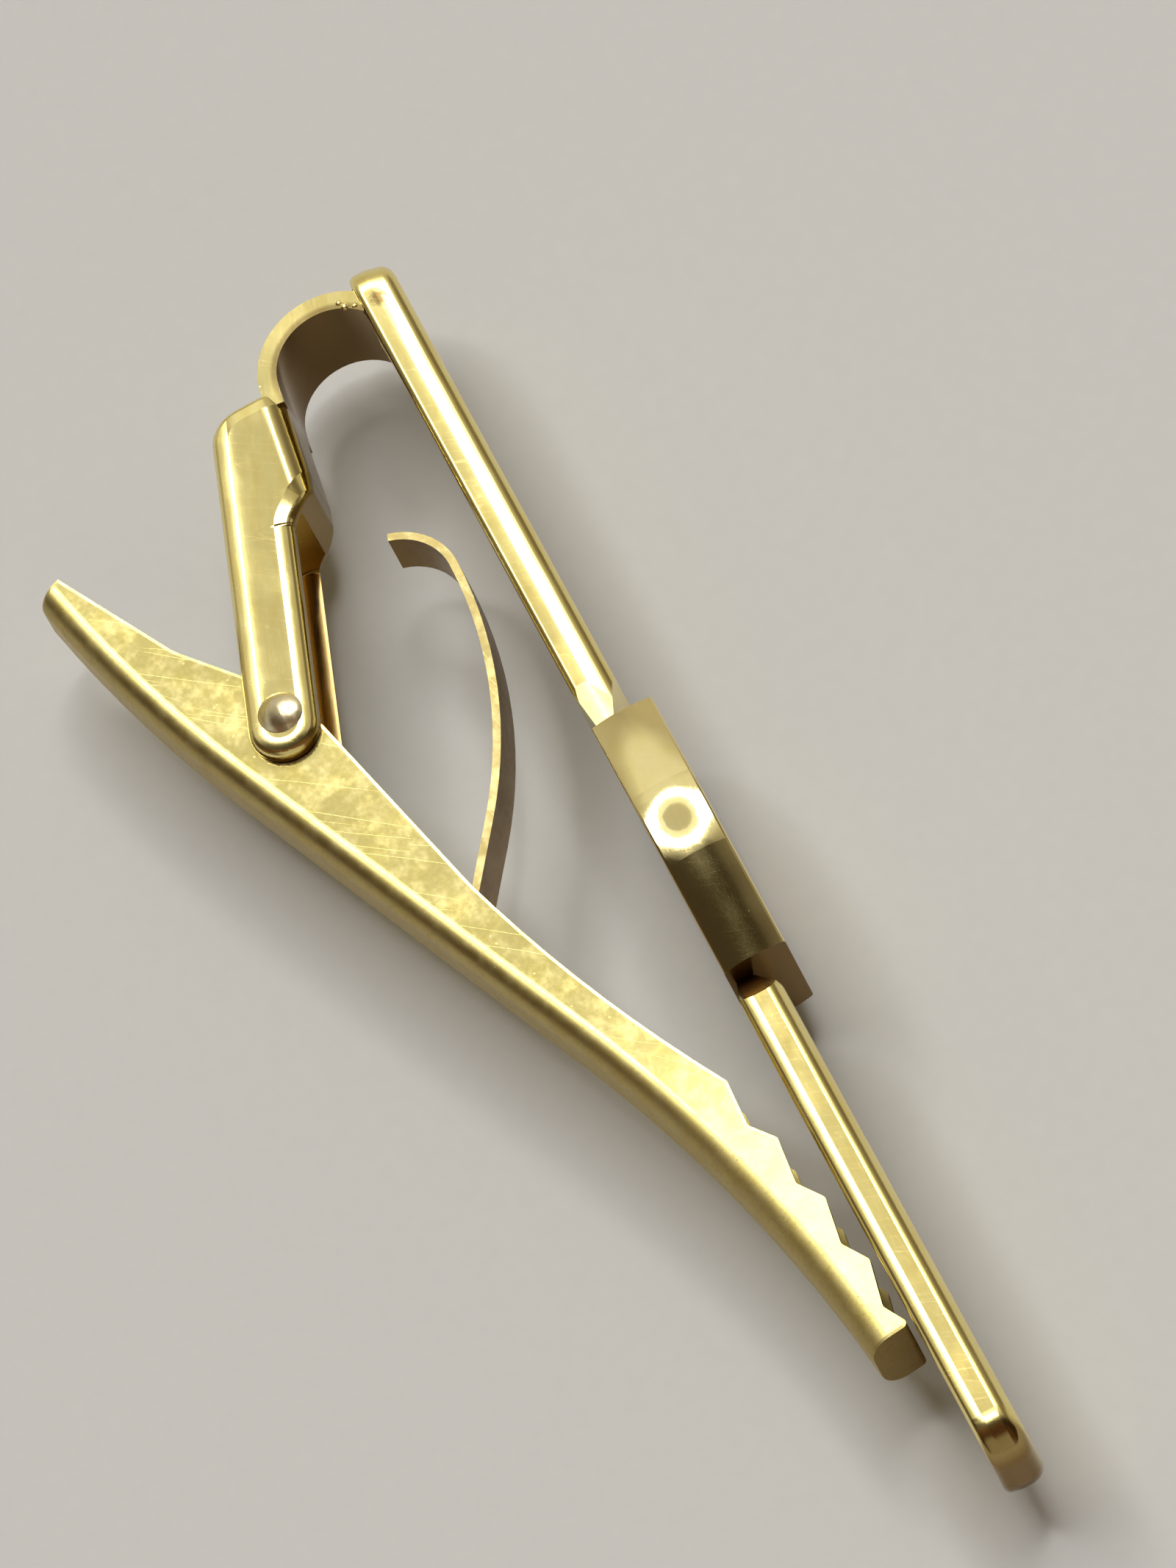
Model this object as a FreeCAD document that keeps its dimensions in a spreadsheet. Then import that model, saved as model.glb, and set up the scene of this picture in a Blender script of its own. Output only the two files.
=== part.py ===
import FreeCAD, Part
import math
import os

import Sketcher

# Tie clip: a stiff front bar with a raised centre, a folded bracket behind its hinge end,
# and a toothed spring jaw that turns on a rivet between the bracket's two ears.
# Working frame before placing: X runs along the bar from its hinge end, Y points out of the
# bar's front with 0 on its back, Z is the pivot's direction with 0 in the middle of the bar.

doc = FreeCAD.newDocument("tie_clip")
sheet = doc.addObject("Spreadsheet::Sheet", "sizes")


class Size:
    """A number that remembers the sheet expression it comes from."""

    def __init__(self, value, text):
        self.value = value
        self.text = text

    def __add__(self, other):
        return joined(self, "+", other)

    def __radd__(self, other):
        return joined(other, "+", self)

    def __sub__(self, other):
        return joined(self, "-", other)

    def __rsub__(self, other):
        return joined(other, "-", self)

    def __mul__(self, other):
        return joined(self, "*", other)

    def __rmul__(self, other):
        return joined(other, "*", self)

    def __truediv__(self, other):
        return joined(self, "/", other)

    def __neg__(self):
        return Size(-self.value, f"(-{self.text})")


def as_size(number):
    if isinstance(number, Size):
        return number
    return Size(number, f"({number!r})")


def joined(left, sign, right):
    left, right = as_size(left), as_size(right)
    value = {
        "+": left.value + right.value,
        "-": left.value - right.value,
        "*": left.value * right.value,
        "/": left.value / right.value if right.value else 0.0,
    }[sign]
    return Size(value, f"({left.text} {sign} {right.text})")


def sine(angle):
    return Size(math.sin(math.radians(angle.value)), f"sin({angle.text})")


def cosine(angle):
    return Size(math.cos(math.radians(angle.value)), f"cos({angle.text})")


def root(square):
    return Size(math.sqrt(square.value), f"sqrt({square.text})")


def angle_of_sine(ratio):
    return Size(math.degrees(math.asin(ratio.value)), f"(asin({ratio.text}) / 1 deg)")


def angle_of_tangent(ratio):
    return Size(math.degrees(math.atan(ratio.value)), f"(atan({ratio.text}) / 1 deg)")


def angle_round(run, radius):
    """Degrees that a run takes up on an arc of this radius."""
    return Size(math.degrees(run.value / radius.value), f"({run.text} / {radius.text} * 180 / pi)")


rows = []


def write_row(name, content, note):
    row = len(rows) + 1
    rows.append(name)
    sheet.set(f"A{row}", name)
    sheet.set(f"B{row}", content)
    sheet.setAlias(f"B{row}", name)
    sheet.set(f"C{row}", note)


def size(name, value, note):
    """A size that can be set by itself."""
    write_row(name, str(value), note)
    return Size(value, f"sizes.{name}")


def derived(name, worked_out, note):
    """A worked-out size, kept in the sheet as a formula."""
    write_row(name, "=" + worked_out.text.replace("sizes.", ""), note)
    return Size(worked_out.value, f"sizes.{name}")


# Front bar: two arms soldered into the centre piece
bar_length = size("bar_length", 62.3, "whole bar, hinge end to tip")
bar_thick = size("bar_thick", 1.8, "back to front")
bar_width = size("bar_width", 5.0, "across the bar")
bar_end_round = size("bar_end_round", 1.75, "corners of each free end, seen from the front")
facet_lean = size("facet_lean", 14.0, "degrees that buffed facets lean from their faces")
hinge_facet = size("hinge_facet", 1.05, "facet along the hinge arm's front edge")
hinge_front_round = size("hinge_front_round", 0.62, "hinge arm's front, past that facet")
hinge_back_round = size("hinge_back_round", 0.3, "hinge arm's back edge")
tip_front_facet = size("tip_front_facet", 0.62, "facet along the tip arm's front edge")
tip_front_round = size("tip_front_round", 0.62, "tip arm's front, past that facet")
tip_back_facet = size("tip_back_facet", 0.6, "facet along the tip arm's back edge")
tip_back_round = size("tip_back_round", 0.3, "tip arm's back, past that facet")
hinge_taper = size("hinge_taper", 1.99, "cut-in of the hinge arm beside the centre")
tip_taper = size("tip_taper", 1.61, "cut-in of the tip arm beside the centre")
neck_inset = size("neck_inset", 0.25, "bar's back to the neck")
neck_thick = size("neck_thick", 0.75, "what the cut-in leaves, back to front")
hinge_neck_width = size("hinge_neck_width", 4.5, "what the hinge arm's cut-in leaves, across the bar")
tip_neck_width = size("tip_neck_width", 2.4, "what the tip arm's cut-in leaves, across the bar")
spigot_width = size("spigot_width", 2.2, "across the spigot")
spigot_step = size("spigot_step", 0.1, "how far the spigot stands in from the neck's back and front")
spigot_length = size("spigot_length", 2.2, "neck inside its socket")
solder_gap = size("solder_gap", 0.03, "socket round the spigot")

# Raised centre of the bar
saddle_start = size("saddle_start", 24.99, "hinge end of the bar to the centre piece")
saddle_length = size("saddle_length", 12.8, "along the bar")
saddle_thick = size("saddle_thick", 2.7, "bar's back to the raised front")
saddle_crest_width = size("saddle_crest_width", 8.2, "across its middle")
saddle_crest_radius = size("saddle_crest_radius", 6.5, "rounding of the crest along the bar")
saddle_slope = size("saddle_slope", 16.0, "degrees that its sides fall from the crest to each end")
saddle_side_radius = size("saddle_side_radius", 4.75, "crown of its two sides")
saddle_edge_round = size("saddle_edge_round", 0.15, "long edges of its two sides")

# Folded bracket behind the hinge end
pivot_run = size("pivot_run", 17.4, "hinge end to the pivot, along the bar")
pivot_drop = size("pivot_drop", 10.55, "bar's back to the pivot")
web_sheet = size("web_sheet", 0.8, "sheet of the strap and web")
ear_sheet = size("ear_sheet", 0.64, "sheet of the ears, thinned by the fold")
strap_start = size("strap_start", 1.2, "hinge end to the strap's outer face on the bar's back")
strap_inset = size("strap_inset", 0.25, "strap's edges inside the web's")
strap_radius = size("strap_radius", 2.9, "middle of the strap's bend")
strap_bulge = size("strap_bulge", 0.65, "how far the bend stands out past its start on the bar")
web_lean = size("web_lean", 7.85, "degrees that the web leans from the bar")
web_length = size("web_length", 4.8, "web along its lean")
fold_round = size("fold_round", 1.0, "outside of the folds between web and ears")
ear_width = size("ear_width", 2.92, "across an ear's arm")
ear_reach = size("ear_reach", 1.9, "pivot to the round end of an ear")
ear_notch = size("ear_notch", 1.3, "web's end to the arm's edge, along the bar")
shoulder_depth = size("shoulder_depth", 3.2, "web's face to the corner of an ear below the strap")
shoulder_round = size("shoulder_round", 1.6, "that corner")
notch_round = size("notch_round", 0.9, "inside corner under the web's end")
ear_facet = size("ear_facet", 0.75, "facet along the ears' rims")
ear_rim_round = size("ear_rim_round", 0.35, "ears' rims, past that facet")

# Toothed jaw, drawn about the pivot with its floor level
jaw_width = size("jaw_width", 3.4, "outside of the channel")
jaw_sheet = size("jaw_sheet", 0.45, "sheet of the channel")
jaw_fold_round = size("jaw_fold_round", 1.0, "outside of the channel's folds")
jaw_rim_facet = size("jaw_rim_facet", 0.12, "facet along the outer rims of the cut edges")
side_clearance = size("side_clearance", 0.06, "jaw to each ear")
floor_depth = size("floor_depth", 3.36, "pivot to the outside of the floor")
bend_start = size("bend_start", 19.2, "pivot to where the floor bends to the bar")
bend_radius = size("bend_radius", 69.0, "outside of the bent floor")
first_tooth = size("first_tooth", 6.35, "bend's start to the first tooth, along the floor")
tooth_pitch = size("tooth_pitch", 3.27, "tooth to tooth, along the floor")
tooth_height = size("tooth_height", 0.57, "valley to tip")
tooth_tip_round = size("tooth_tip_round", 0.22, "tips of the teeth")
tooth_foot_round = size("tooth_foot_round", 0.3, "valleys of the teeth")
mouth_depth = size("mouth_depth", 2.75, "floor to the first tooth's tip")
tip_depth = size("tip_depth", 1.95, "floor to the last tooth's tip")
tooth_clearance = size("tooth_clearance", 0.12, "last tooth to the bar's back when shut")
brow_reach = size("brow_reach", 11.3, "pivot to the start of the hollow edge")
brow_depth = size("brow_depth", 2.59, "floor to that point")
brow_radius = size("brow_radius", 73.0, "hollow edge before the teeth")
cheek_wall = size("cheek_wall", 0.25, "pivot's hole to the top of the cheek")
cheek_ahead = size("cheek_ahead", 1.4, "flat of the cheek towards the tip")
cheek_behind = size("cheek_behind", 1.5, "flat of the cheek towards the tail")
cheek_round = size("cheek_round", 1.6, "corners of the cheek")
tail_root = size("tail_root", 6.0, "pivot to the foot of the cheek")
tail_root_depth = size("tail_root_depth", 2.91, "floor's level to that point")
tail_root_round = size("tail_root_round", 3.0, "hollow at the foot of the cheek")
tail_reach = size("tail_reach", 12.3, "pivot to the end of the thumb tail")
tail_rise = size("tail_rise", 1.17, "how far the tail's floor lifts")
tail_depth = size("tail_depth", 1.25, "wall at the tail's end")

# Rivets and spring
pivot_radius = size("pivot_radius", 0.5, "shank of the pivot rivet")
pivot_clearance = size("pivot_clearance", 0.05, "jaw's holes round the shank")
rivet_fit = size("rivet_fit", 0.01, "a set rivet in its own hole")
head_radius = size("head_radius", 0.92, "heads of the pivot rivet")
head_height = size("head_height", 0.42, "domes of the pivot rivet")
spring_sheet = size("spring_sheet", 0.33, "leaf of the spring")
spring_side = size("spring_side", 0.1, "leaf to each wall of the channel")
spring_gap = size("spring_gap", 1.5, "top of the leaf to the bar's back when shut")
spring_seat = size("spring_seat", 0.02, "leaf to the jaw's floor")
spring_foot = size("spring_foot", 12.7, "pivot to the bend above the foot")
foot_length = size("foot_length", 4.6, "foot that lies on the floor")
foot_bend = size("foot_bend", 1.1, "middle of the bend above the foot")
foot_turn = size("foot_turn", 56.5, "degrees that the leaf rises from the floor")
bow_radius = size("bow_radius", 20.0, "middle of the bowed stretch")
curl_radius = size("curl_radius", 2.65, "middle of the curled end")
curl_turn = size("curl_turn", 72.0, "degrees of the curled end")
stud_radius = size("stud_radius", 0.45, "shank of the spring's rivet")
stud_head_radius = size("stud_head_radius", 0.8, "head of the spring's rivet")
stud_head_height = size("stud_head_height", 0.3, "dome of the spring's rivet")
cut_over = size("cut_over", 2.0, "how far cuts run past what they cut")

TOOTH_COUNT = 5
# A tooth's long side takes this share of the pitch, its steep side the rest
TOOTH_LONG_SHARE = 0.62
# Corners and edges are the same within this share of the overrun
NEAR_SHARE = 1e-4

# Places worked out from the sizes
near = NEAR_SHARE * cut_over.value
taper_start = saddle_start - hinge_taper
saddle_end = saddle_start + saddle_length
taper_end = saddle_end + tip_taper
bracket_width = jaw_width + 2 * (side_clearance + ear_sheet)
cheek_rise = pivot_radius + pivot_clearance + cheek_wall
spring_width = jaw_width - 2 * (jaw_sheet + spring_side)
stud_x = spring_foot + foot_length / 2

# The strap's bend is centred behind the bar, where its outer face meets the bar's back at its start
strap_outer = strap_radius + web_sheet / 2
strap_inner = strap_radius - web_sheet / 2
strap_reach = strap_outer - strap_bulge
strap_run = strap_start + strap_reach
strap_drop = derived(
    "strap_drop",
    root(strap_outer * strap_outer - strap_reach * strap_reach),
    "bar's back to the middle of the strap's bend",
)
web_start_x = strap_run - strap_inner * sine(web_lean)
web_start_y = -strap_drop - strap_inner * cosine(web_lean)

# An ear's outer edge runs from its shoulder to its round end at the pivot
shoulder_y = web_start_y - shoulder_depth
ear_run = pivot_run - web_start_x
ear_fall = shoulder_y + pivot_drop
ear_lean = derived(
    "ear_lean",
    angle_of_tangent(ear_fall / ear_run)
    + angle_of_sine(ear_width / 2 / root(ear_run * ear_run + ear_fall * ear_fall)),
    "degrees that the ears lean from the bar",
)


def on_bend(run, depth):
    """Point at a run along the bent floor and a depth above the floor's outside."""
    turn = angle_round(run, bend_radius)
    return (
        bend_start + (bend_radius + depth) * sine(turn),
        (bend_radius + depth) * cosine(turn) - bend_radius - floor_depth,
    )


def tooth_tip(index):
    share = index / (TOOTH_COUNT - 1)
    return on_bend(first_tooth + index * tooth_pitch, mouth_depth + share * (tip_depth - mouth_depth))


def tooth_valley(index):
    """Valley between this tooth and the next towards the tip."""
    share = (index + TOOTH_LONG_SHARE) / (TOOTH_COUNT - 1)
    depth = mouth_depth + share * (tip_depth - mouth_depth) - tooth_height
    return on_bend(first_tooth + (index + TOOTH_LONG_SHARE) * tooth_pitch, depth)


# The jaw is shut when its last tooth stands a clearance off the bar's back
last_x, last_y = tooth_tip(TOOTH_COUNT - 1)
last_reach = root(last_x * last_x + last_y * last_y)
jaw_lean = derived(
    "jaw_lean",
    angle_of_sine((pivot_drop - tooth_clearance) / last_reach) - angle_of_tangent(last_y / last_x),
    "degrees that the jaw's floor leans from the bar when shut",
)
tail_end_y = tail_rise - floor_depth
tail_low = pivot_drop + tail_reach * sine(jaw_lean) - tail_end_y * cosine(jaw_lean)

# The origin is the middle of the bottom of the whole clip
shift_x = -bar_length / 2
shift_y = derived("shift_y", (tail_low - saddle_thick) / 2, "bar's back to the middle of the clip")
shift_z = saddle_crest_width / 2
pivot_x = pivot_run + shift_x
pivot_y = shift_y - pivot_drop


doc.recompute()


def bind(thing, path, place):
    thing.setExpression(path, as_size(place).text)


def new_body(label, x=shift_x, y=shift_y, z=shift_z, turn=None):
    body = doc.addObject("PartDesign::Body", label)
    body.Label = label
    bind(body, "Placement.Base.x", x)
    bind(body, "Placement.Base.y", y)
    bind(body, "Placement.Base.z", z)
    if turn is not None:
        body.setExpression("Placement.Rotation.Angle", f"{turn.text} * 1 deg")
    return body


def arc_between(start, end, radius, side):
    """Arc from start to end that bends to the left (side 1) or to the right (side -1)."""
    half = (end - start) * 0.5
    to_left = FreeCAD.Vector(-half.y, half.x, 0).normalize()
    rise = math.sqrt(max(radius * radius - half.Length * half.Length, 0.0))
    centre = start + half + to_left * (side * rise)
    first, last = (start, end) if side > 0 else (end, start)
    turns = [math.atan2(point.y - centre.y, point.x - centre.x) for point in (first, last)]
    return Part.ArcOfCircle(Part.Circle(centre, FreeCAD.Vector(0, 0, 1), radius), *turns)


def origin_plane(body, role):
    return next(flat for flat in body.Origin.OriginFeatures if flat.Role == role)


def new_sketch(body, name, role, ahead=None):
    sketch = body.newObject("Sketcher::SketchObject", name)
    sketch.AttachmentSupport = [(origin_plane(body, role), "")]
    sketch.MapMode = "FlatFace"
    if ahead is not None:
        bind(sketch, "AttachmentOffset.Base.z", ahead)
    return sketch


def hold(sketch, constraint, length):
    index = sketch.addConstraint(constraint)
    bind(sketch, f"Constraints[{index}]", length)


def outline(body, name, corners, role="XY_Plane", ahead=None, closed=True):
    """Sketch through corners (x, y), or (x, y, radius, side) where an arc leaves the corner."""
    sketch = new_sketch(body, name, role, ahead)
    corners = [[as_size(part) for part in corner[:3]] + list(corner[3:]) for corner in corners]
    points = [FreeCAD.Vector(corner[0].value, corner[1].value, 0) for corner in corners]
    nexts = points[1:] + points[:1] if closed else points[1:]
    ends = []
    for corner, start, end in zip(corners, points, nexts):
        if len(corner) == 2:
            edge = sketch.addGeometry(Part.LineSegment(start, end))
            ends.append((edge, 1, 2))
        else:
            radius, side = corner[2:]
            edge = sketch.addGeometry(arc_between(start, end, radius.value, side))
            ends.append((edge, 1, 2) if side > 0 else (edge, 2, 1))
            hold(sketch, Sketcher.Constraint("Radius", edge, radius.value), radius)
    for index, corner in enumerate(corners):
        if index < len(ends):
            edge, spot, _ = ends[index]
        else:
            edge, _, spot = ends[-1]
        if closed or 0 < index < len(ends):
            before, _, last = ends[index - 1]
            sketch.addConstraint(Sketcher.Constraint("Coincident", before, last, edge, spot))
        for kind, place in zip(("DistanceX", "DistanceY"), corner):
            hold(sketch, Sketcher.Constraint(kind, -1, 1, edge, spot, place.value), place)
    return sketch


def circle(body, name, x, y, radius, role="XY_Plane"):
    sketch = new_sketch(body, name, role)
    centre = FreeCAD.Vector(as_size(x).value, as_size(y).value, 0)
    edge = sketch.addGeometry(Part.Circle(centre, FreeCAD.Vector(0, 0, 1), radius.value))
    hold(sketch, Sketcher.Constraint("Radius", edge, radius.value), radius)
    hold(sketch, Sketcher.Constraint("DistanceX", -1, 1, edge, 3, centre.x), x)
    hold(sketch, Sketcher.Constraint("DistanceY", -1, 1, edge, 3, centre.y), y)
    return sketch


def pad(body, name, sketch, length, both_ways=True):
    feature = body.newObject("PartDesign::Pad", name)
    feature.Profile = sketch
    feature.Midplane = both_ways
    bind(feature, "Length", length)
    doc.recompute()
    return feature


def pocket(body, name, sketch, length, both_ways=True, backwards=False):
    """Cuts, and says so if nothing was cut away."""
    before = body.Shape.Volume
    feature = body.newObject("PartDesign::Pocket", name)
    feature.Profile = sketch
    feature.Midplane = both_ways
    feature.Reversed = backwards
    bind(feature, "Length", length)
    doc.recompute()
    if not body.Shape.Volume < before:
        raise RuntimeError(f"{body.Label}: {name} cuts nothing")
    return feature


def dome_radius(radius, height):
    return (radius * radius + height * height) / (2 * height)


def spin(body, name, sketch):
    """Turns a half profile about its sketch's own upright axis."""
    feature = body.newObject("PartDesign::Revolution", name)
    feature.Profile = sketch
    feature.ReferenceAxis = (sketch, ["V_Axis"])
    feature.Angle = 360
    doc.recompute()
    return feature


def edges_for(body, name, wanted):
    edges = [f"Edge{place}" for place, edge in enumerate(body.Tip.Shape.Edges, 1) if wanted(edge)]
    if not edges:
        raise RuntimeError(f"{body.Label}: {name} finds no edge")
    return body.Tip, edges


def soften(body, name, radius, wanted):
    """Rounds the edges of the body so far for which wanted(edge) holds."""
    chosen = edges_for(body, name, wanted)
    feature = body.newObject("PartDesign::Fillet", name)
    feature.Base = chosen
    bind(feature, "Radius", radius)
    doc.recompute()
    return feature


def facet_drop(width, lean):
    return width * sine(lean) / cosine(lean)


def facet(body, name, width, lean, wanted):
    """Files such edges to a flat, this wide along one face, that leans from that face."""
    chosen = edges_for(body, name, wanted)
    feature = body.newObject("PartDesign::Chamfer", name)
    feature.Base = chosen
    feature.ChamferType = "Two distances"
    bind(feature, "Size", width)
    bind(feature, "Size2", facet_drop(width, lean))
    doc.recompute()
    return feature


def middle_of(edge):
    return edge.valueAt((edge.FirstParameter + edge.LastParameter) / 2)


def upright_at(*corners):
    """Test for edges along Z that stand on one of these corners."""
    spots = [FreeCAD.Vector(as_size(x).value, as_size(y).value, 0) for x, y in corners]

    def test(edge):
        centre = middle_of(edge)
        flat = FreeCAD.Vector(centre.x, centre.y, 0)
        stands = edge.tangentAt(edge.FirstParameter).cross(FreeCAD.Vector(0, 0, 1)).Length < 1e-6
        return stands and any((flat - spot).Length < near for spot in spots)

    return test


def rim_test(half_width, inside):
    """Test for edges on the two flat sides, at plus and minus half_width, whose middle passes inside."""

    def test(edge):
        heights = [abs(abs(vertex.Z) - half_width.value) for vertex in edge.Vertexes]
        centre = middle_of(edge)
        level = max(heights) < near and abs(abs(centre.z) - half_width.value) < near
        return level and inside(centre.x, centre.y)

    return test


def build_arm(label, way, free_end, shoulder, neck, neck_width, spigot_end, rims):
    """Half of the bar: a round-ended strip, eased along its rims and filed to a neck with a spigot."""
    body = new_body(label)
    half = bar_width / 2
    turn_in = free_end + way * bar_end_round
    strip = outline(
        body,
        f"{label}_shape",
        (
            (turn_in, -half),
            (spigot_end, -half),
            (spigot_end, half),
            (turn_in, half, bar_end_round, way),
            (free_end, half - bar_end_round),
            (free_end, bar_end_round - half, bar_end_round, way),
        ),
        "XZ_Plane",
        -bar_thick / 2,
    )
    pad(body, f"{label}_strip", strip, bar_thick)

    def rim_at(level):
        def test(edge):
            on_level = all(abs(vertex.Y - as_size(level).value) < near for vertex in edge.Vertexes)
            return on_level and abs(middle_of(edge).x - spigot_end.value) > near

        return test

    for side, level, facet_width, rounding in rims:
        if facet_width is not None:
            facet(body, f"{label}_{side}_facet", facet_width, facet_lean, rim_at(level))
        soften(body, f"{label}_{side}_edge", rounding, rim_at(level))

    past = spigot_end + way * cut_over
    half_neck, half_spigot = neck_width / 2, spigot_width / 2
    neck_front = neck_inset + neck_thick
    across = 2 * (bar_width + cut_over)
    for name, role, edge, core, spigot, outward in (
        ("left", "XZ_Plane", half, half_neck, half_spigot, 1),
        ("right", "XZ_Plane", -half, -half_neck, -half_spigot, -1),
        ("front", "XY_Plane", bar_thick, neck_front, neck_front - spigot_step, 1),
        ("back", "XY_Plane", as_size(0), neck_inset, neck_inset + spigot_step, -1),
    ):
        clear = edge + outward * cut_over
        cut = outline(
            body,
            f"{label}_{name}_cut_shape",
            (
                (shoulder, edge),
                (neck, core),
                (neck, spigot),
                (past, spigot),
                (past, clear),
                (shoulder, clear),
            ),
            role,
        )
        pocket(body, f"{label}_{name}_cut", cut, across)
    return body


def build_saddle():
    """Raised centre: a crowned side swept over the crest and mirrored, with a socket in each end."""
    body = new_body("centre_saddle")
    half_crest = saddle_crest_width / 2
    crest_x = saddle_start + saddle_length / 2
    crest_run = saddle_crest_radius * sine(saddle_slope)
    crest_fall = saddle_crest_radius * (1 - cosine(saddle_slope))
    slope_fall = (saddle_length / 2 - crest_run) * sine(saddle_slope) / cosine(saddle_slope)
    slope_top = half_crest - crest_fall
    end_top = slope_top - slope_fall
    spine = outline(
        body,
        "saddle_spine",
        (
            (saddle_start, end_top),
            (crest_x - crest_run, slope_top, saddle_crest_radius, -1),
            (crest_x + crest_run, slope_top),
            (saddle_end, end_top),
        ),
        "XZ_Plane",
        closed=False,
    )
    # The crown's arc runs into a small arc at each edge
    round_reach = saddle_thick / 2 - saddle_edge_round
    crown_reach = saddle_side_radius - saddle_edge_round
    round_rise = root(crown_reach * crown_reach - round_reach * round_reach)
    round_top = end_top - saddle_side_radius + round_rise
    crown_end = end_top - saddle_side_radius + round_rise * saddle_side_radius / crown_reach
    crown_half = round_reach * saddle_side_radius / crown_reach
    section = outline(
        body,
        "saddle_section",
        (
            (0, end_top - half_crest),
            (saddle_thick, end_top - half_crest),
            (saddle_thick, round_top, saddle_edge_round, 1),
            (saddle_thick / 2 + crown_half, crown_end, saddle_side_radius, 1),
            (saddle_thick / 2 - crown_half, crown_end, saddle_edge_round, 1),
            (0, round_top),
        ),
        "YZ_Plane",
        saddle_start,
    )
    sweep = body.newObject("PartDesign::AdditivePipe", "saddle_side")
    sweep.Profile = section
    sweep.Spine = (spine, ["Edge1", "Edge2", "Edge3"])
    sweep.Mode = "Fixed"
    doc.recompute()
    both = body.newObject("PartDesign::Mirrored", "saddle_sides")
    both.Originals = [sweep]
    both.MirrorPlane = (origin_plane(body, "XY_Plane"), [""])
    body.Tip = both
    doc.recompute()
    back = neck_inset + spigot_step - solder_gap
    front = neck_inset + neck_thick - spigot_step + solder_gap
    half = spigot_width / 2 + solder_gap
    section = ((back, -half), (front, -half), (front, half), (back, half))
    hinge_socket = outline(body, "hinge_socket_shape", section, "YZ_Plane", saddle_start)
    pocket(body, "hinge_socket", hinge_socket, spigot_length + solder_gap, False, True)
    tip_socket = outline(body, "tip_socket_shape", section, "YZ_Plane", saddle_end)
    pocket(body, "tip_socket", tip_socket, spigot_length + solder_gap, False)
    return body


def ear_top(x):
    """Height of an ear's edge on the bar's side, at a place along the bar."""
    return ear_width / 2 / cosine(ear_lean) - pivot_drop - (x - pivot_run) * sine(ear_lean) / cosine(ear_lean)


def build_bracket():
    """Bent strap soldered to the bar's back, a web, and two ears folded down from the web's edges."""
    body = new_body("hinge_bracket")
    half_ear = ear_width / 2
    along_x, along_y = cosine(ear_lean), -sine(ear_lean)
    web_end_x = web_start_x + web_length * cosine(web_lean)
    web_end_y = web_start_y - web_length * sine(web_lean)
    notch_x = web_end_x + ear_notch
    cap_x = pivot_run + (ear_reach - half_ear) * along_x
    cap_y = (ear_reach - half_ear) * along_y - pivot_drop
    ears = outline(
        body,
        "ear_shape",
        (
            (web_start_x, web_start_y),
            (web_start_x, shoulder_y),
            (cap_x + half_ear * along_y, cap_y - half_ear * along_x, half_ear, 1),
            (cap_x + half_ear * along_x, cap_y + half_ear * along_y, half_ear, 1),
            (cap_x - half_ear * along_y, cap_y + half_ear * along_x),
            (notch_x, ear_top(notch_x)),
            (web_end_x, web_end_y),
        ),
    )
    pad(body, "folded_blank", ears, bracket_width)
    soften(body, "shoulder", shoulder_round, upright_at((web_start_x, shoulder_y)))
    soften(body, "notch", notch_round, upright_at((notch_x, ear_top(notch_x))))
    web_line = (web_end_y.value + web_start_y.value) / 2
    half_width = bracket_width / 2

    def on_web(x, y):
        return web_start_x.value < x < web_end_x.value and abs(y - web_line) < web_sheet.value

    soften(body, "folds", fold_round, rim_test(half_width, on_web))

    def on_arm(x, y):
        return x > notch_x.value or y < shoulder_y.value + shoulder_round.value

    facet(body, "ear_facets", ear_facet, facet_lean, rim_test(half_width, on_arm))
    rim = half_width - facet_drop(ear_facet, facet_lean)
    soften(body, "ear_rims", ear_rim_round, rim_test(rim, on_arm))

    # Room between the ears: everything on the far side of the web's inner face
    far_x = pivot_run + ear_reach + cut_over
    low_y = -pivot_drop - ear_reach - cut_over
    near_x = web_start_x - cut_over
    inner_y = web_start_y - web_sheet / cosine(web_lean)
    lean_tangent = sine(web_lean) / cosine(web_lean)
    room = outline(
        body,
        "room_shape",
        (
            (near_x, inner_y + cut_over * lean_tangent),
            (near_x, low_y),
            (far_x, low_y),
            (far_x, inner_y - (far_x - web_start_x) * lean_tangent),
        ),
    )
    pocket(body, "room", room, jaw_width + 2 * side_clearance)

    lean_x, lean_y = sine(web_lean), cosine(web_lean)
    # The strap runs on into the web by its own thickness
    lap_x, lap_y = web_sheet * lean_y, -web_sheet * lean_x
    outer_x, outer_y = strap_run - strap_outer * lean_x, -strap_drop - strap_outer * lean_y
    inner_foot_x = strap_run - root(strap_inner * strap_inner - strap_drop * strap_drop)
    strap = outline(
        body,
        "strap_shape",
        (
            (strap_start, 0, strap_outer, 1),
            (outer_x, outer_y),
            (outer_x + lap_x, outer_y + lap_y),
            (web_start_x + lap_x, web_start_y + lap_y),
            (web_start_x, web_start_y, strap_inner, -1),
            (inner_foot_x, 0),
        ),
    )
    pad(body, "strap", strap, bracket_width - 2 * strap_inset)
    bore = circle(body, "pivot_bore_shape", pivot_run, -pivot_drop, pivot_radius + rivet_fit)
    pocket(body, "pivot_bore", bore, bracket_width + cut_over)
    return body


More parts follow.
